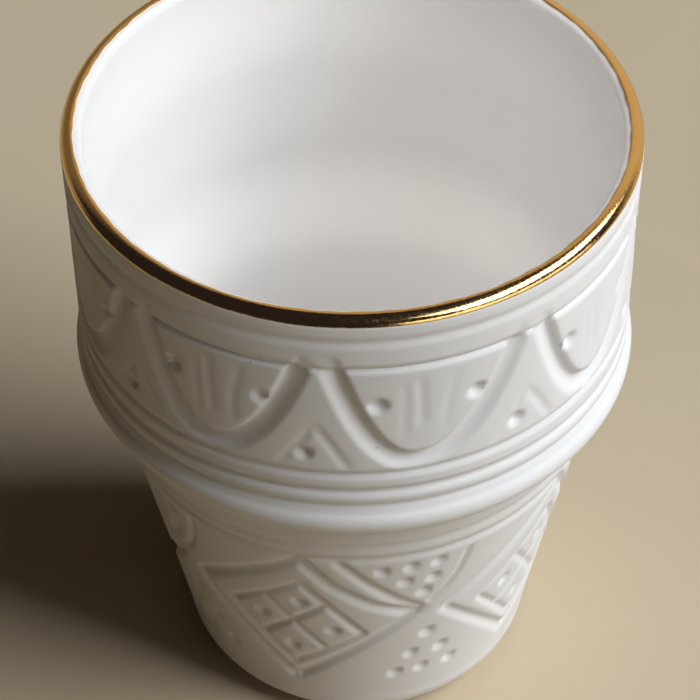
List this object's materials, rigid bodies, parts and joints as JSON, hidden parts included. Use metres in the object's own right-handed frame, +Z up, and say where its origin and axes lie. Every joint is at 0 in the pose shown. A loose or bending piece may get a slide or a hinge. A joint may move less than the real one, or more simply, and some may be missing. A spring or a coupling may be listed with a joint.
{
  "type": "handleless coffee cup",
  "caption": "Handleless ceramic coffee cup with a carved, beaded collar over a tapered carved body, a gloss glaze inside and a gold lustre band on the lip.",
  "frame": {"origin": "middle of the flat foot, on the table", "axes": "+Z up along the cup's axis of turning, -Y towards the viewer"},
  "size_m": [0.0814, 0.0814, 0.1],
  "materials": {
    "white_clay": "fired white clay, satin matt, carved by hand",
    "gloss_glaze": "poured transparent gloss over white clay",
    "gold_lustre": "brushed and fired gold lustre, bright"
  },
  "bodies": {
    "root": {"clay_body": "white_clay", "glaze_liner": "gloss_glaze", "gold_rim": "gold_lustre"}
  },
  "joints": []
}
